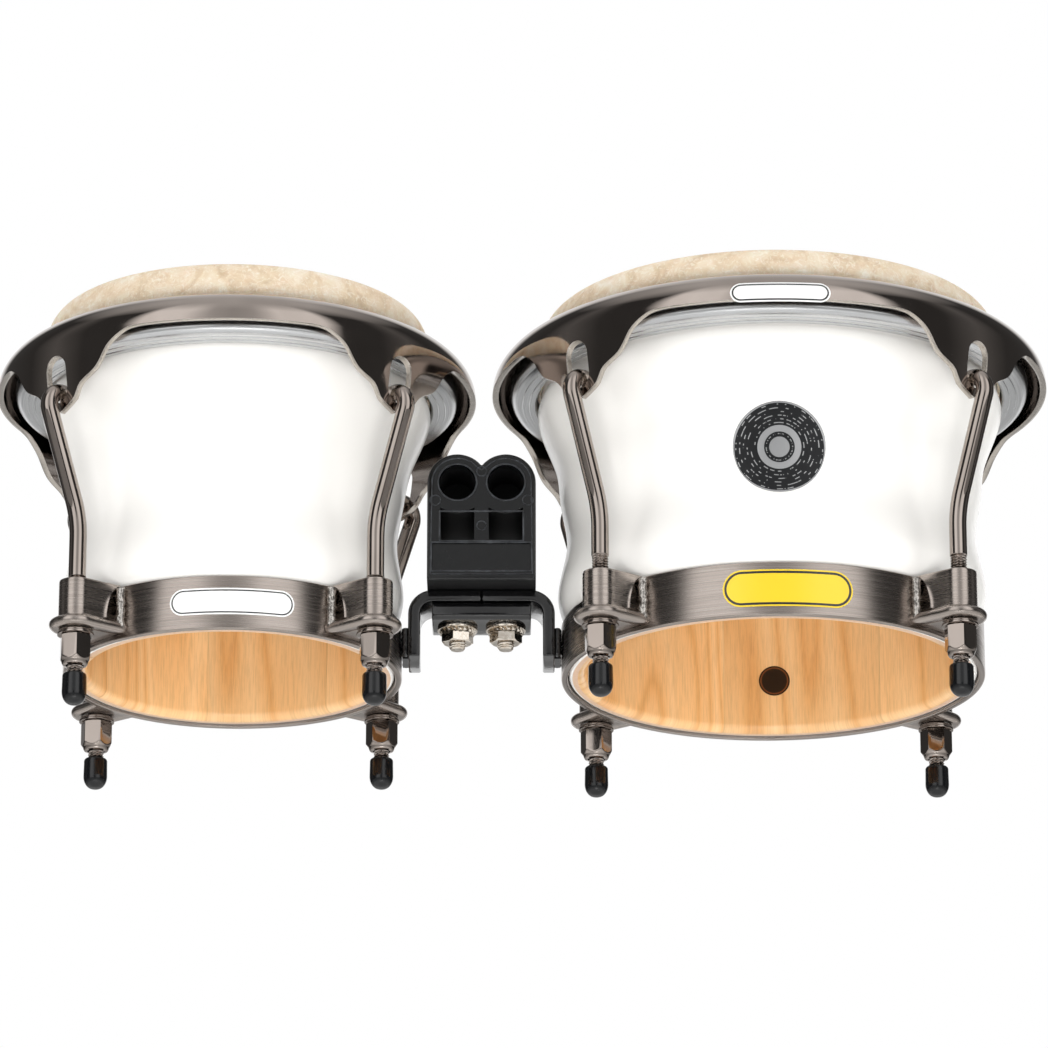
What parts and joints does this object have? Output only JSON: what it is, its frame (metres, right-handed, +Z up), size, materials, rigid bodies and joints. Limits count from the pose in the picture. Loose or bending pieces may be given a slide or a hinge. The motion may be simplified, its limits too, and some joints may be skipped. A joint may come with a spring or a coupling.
{
  "type": "bongo drums",
  "caption": "Small and large wooden drum joined side by side by a clamped centre block, with skin heads, pressed rims, tension hooks and tuning nuts.",
  "frame": {"origin": "on the floor under the middle of the pair, which stands on the rubber caps of its eight tension rods", "axes": "+X from the small drum to the large drum, +Y away from the player, +Z up along both drums' axes"},
  "size_m": [0.4902, 0.259, 0.2055],
  "materials": {
    "lacquered_wood": "white high-gloss lacquer outside, semi-gloss natural pale wood inside",
    "skin": "matt, mottled cream",
    "zinc": "bright zinc, faint turning marks",
    "gloss_black_nickel": "dark mirror plating",
    "brushed_black_nickel": "dark brushed plating",
    "rubber": "satin black",
    "moulded_black": "smooth black moulding",
    "black_paint": "gloss black powder coat",
    "bright_nickel": "warm bright nickel plating",
    "badge_foil": "black and silver printed foil"
  },
  "bodies": {
    "drums": {"macho_shell": "lacquered_wood", "macho_head": "skin", "macho_bottom_ring": "brushed_black_nickel", "macho_washer_1": "gloss_black_nickel", "macho_washer_2": "gloss_black_nickel", "macho_washer_3": "gloss_black_nickel", "macho_washer_4": "gloss_black_nickel", "macho_lug_bracket_1": "brushed_black_nickel", "macho_lug_bracket_2": "brushed_black_nickel", "macho_lug_bracket_3": "brushed_black_nickel", "macho_lug_bracket_4": "brushed_black_nickel", "hembra_shell": "lacquered_wood", "hembra_head": "skin", "hembra_bottom_ring": "brushed_black_nickel", "hembra_washer_1": "gloss_black_nickel", "hembra_washer_2": "gloss_black_nickel", "hembra_washer_3": "gloss_black_nickel", "hembra_washer_4": "gloss_black_nickel", "hembra_lug_bracket_1": "brushed_black_nickel", "hembra_lug_bracket_2": "brushed_black_nickel", "hembra_lug_bracket_3": "brushed_black_nickel", "hembra_lug_bracket_4": "brushed_black_nickel", "centre_block": "moulded_black", "macho_arm": "black_paint", "hembra_arm": "black_paint", "clamp_plate": "black_paint", "clamp_bolt_left": "bright_nickel", "clamp_bolt_right": "bright_nickel", "clamp_nut_left": "bright_nickel", "clamp_nut_right": "bright_nickel", "front_badge": "badge_foil"},
    "macho_tension_ring": {"macho_rim": "gloss_black_nickel", "macho_flesh_hoop": "zinc", "macho_tension_hook_1": "gloss_black_nickel", "macho_tension_hook_2": "gloss_black_nickel", "macho_tension_hook_3": "gloss_black_nickel", "macho_tension_hook_4": "gloss_black_nickel", "macho_rubber_cap_1": "rubber", "macho_rubber_cap_2": "rubber", "macho_rubber_cap_3": "rubber", "macho_rubber_cap_4": "rubber"},
    "hembra_tension_ring": {"hembra_rim": "gloss_black_nickel", "hembra_flesh_hoop": "zinc", "hembra_tension_hook_1": "gloss_black_nickel", "hembra_tension_hook_2": "gloss_black_nickel", "hembra_tension_hook_3": "gloss_black_nickel", "hembra_tension_hook_4": "gloss_black_nickel", "hembra_rubber_cap_1": "rubber", "hembra_rubber_cap_2": "rubber", "hembra_rubber_cap_3": "rubber", "hembra_rubber_cap_4": "rubber"},
    "macho_nut_1": {"macho_tuning_nut_1": "gloss_black_nickel"},
    "macho_nut_2": {"macho_tuning_nut_2": "gloss_black_nickel"},
    "macho_nut_3": {"macho_tuning_nut_3": "gloss_black_nickel"},
    "macho_nut_4": {"macho_tuning_nut_4": "gloss_black_nickel"},
    "hembra_nut_1": {"hembra_tuning_nut_1": "gloss_black_nickel"},
    "hembra_nut_2": {"hembra_tuning_nut_2": "gloss_black_nickel"},
    "hembra_nut_3": {"hembra_tuning_nut_3": "gloss_black_nickel"},
    "hembra_nut_4": {"hembra_tuning_nut_4": "gloss_black_nickel"}
  },
  "joints": [
    {"name": "macho_tension_slide", "type": "slide", "parent": "drums", "child": "macho_tension_ring", "axis": [0, 0, 1], "range_m": [-0.004, 0.0025]},
    {"name": "hembra_tension_slide", "type": "slide", "parent": "drums", "child": "hembra_tension_ring", "axis": [0, 0, 1], "range_m": [-0.004, 0.0025]},
    {"name": "macho_nut_1_turn", "type": "hinge", "parent": "drums", "child": "macho_nut_1", "pos_m": [-0.2006, -0.06725, 0.025], "axis": [0, 0, 1], "continuous": true},
    {"name": "macho_nut_2_turn", "type": "hinge", "parent": "drums", "child": "macho_nut_2", "pos_m": [-0.0661, -0.06725, 0.025], "axis": [0, 0, 1], "continuous": true},
    {"name": "macho_nut_3_turn", "type": "hinge", "parent": "drums", "child": "macho_nut_3", "pos_m": [-0.0661, 0.06725, 0.025], "axis": [0, 0, 1], "continuous": true},
    {"name": "macho_nut_4_turn", "type": "hinge", "parent": "drums", "child": "macho_nut_4", "pos_m": [-0.2006, 0.06725, 0.025], "axis": [0, 0, 1], "continuous": true},
    {"name": "hembra_nut_1_turn", "type": "hinge", "parent": "drums", "child": "hembra_nut_1", "pos_m": [0.03518, -0.08047, 0.025], "axis": [0, 0, 1], "continuous": true},
    {"name": "hembra_nut_2_turn", "type": "hinge", "parent": "drums", "child": "hembra_nut_2", "pos_m": [0.19612, -0.08047, 0.025], "axis": [0, 0, 1], "continuous": true},
    {"name": "hembra_nut_3_turn", "type": "hinge", "parent": "drums", "child": "hembra_nut_3", "pos_m": [0.19612, 0.08047, 0.025], "axis": [0, 0, 1], "continuous": true},
    {"name": "hembra_nut_4_turn", "type": "hinge", "parent": "drums", "child": "hembra_nut_4", "pos_m": [0.03518, 0.08047, 0.025], "axis": [0, 0, 1], "continuous": true}
  ],
  "couplings": [
    {"joint": "macho_nut_1_turn", "follows": "macho_tension_slide", "rad_per_m": -5026.5},
    {"joint": "macho_nut_2_turn", "follows": "macho_tension_slide", "rad_per_m": -5026.5},
    {"joint": "macho_nut_3_turn", "follows": "macho_tension_slide", "rad_per_m": -5026.5},
    {"joint": "macho_nut_4_turn", "follows": "macho_tension_slide", "rad_per_m": -5026.5},
    {"joint": "hembra_nut_1_turn", "follows": "hembra_tension_slide", "rad_per_m": -5026.5},
    {"joint": "hembra_nut_2_turn", "follows": "hembra_tension_slide", "rad_per_m": -5026.5},
    {"joint": "hembra_nut_3_turn", "follows": "hembra_tension_slide", "rad_per_m": -5026.5},
    {"joint": "hembra_nut_4_turn", "follows": "hembra_tension_slide", "rad_per_m": -5026.5}
  ]
}
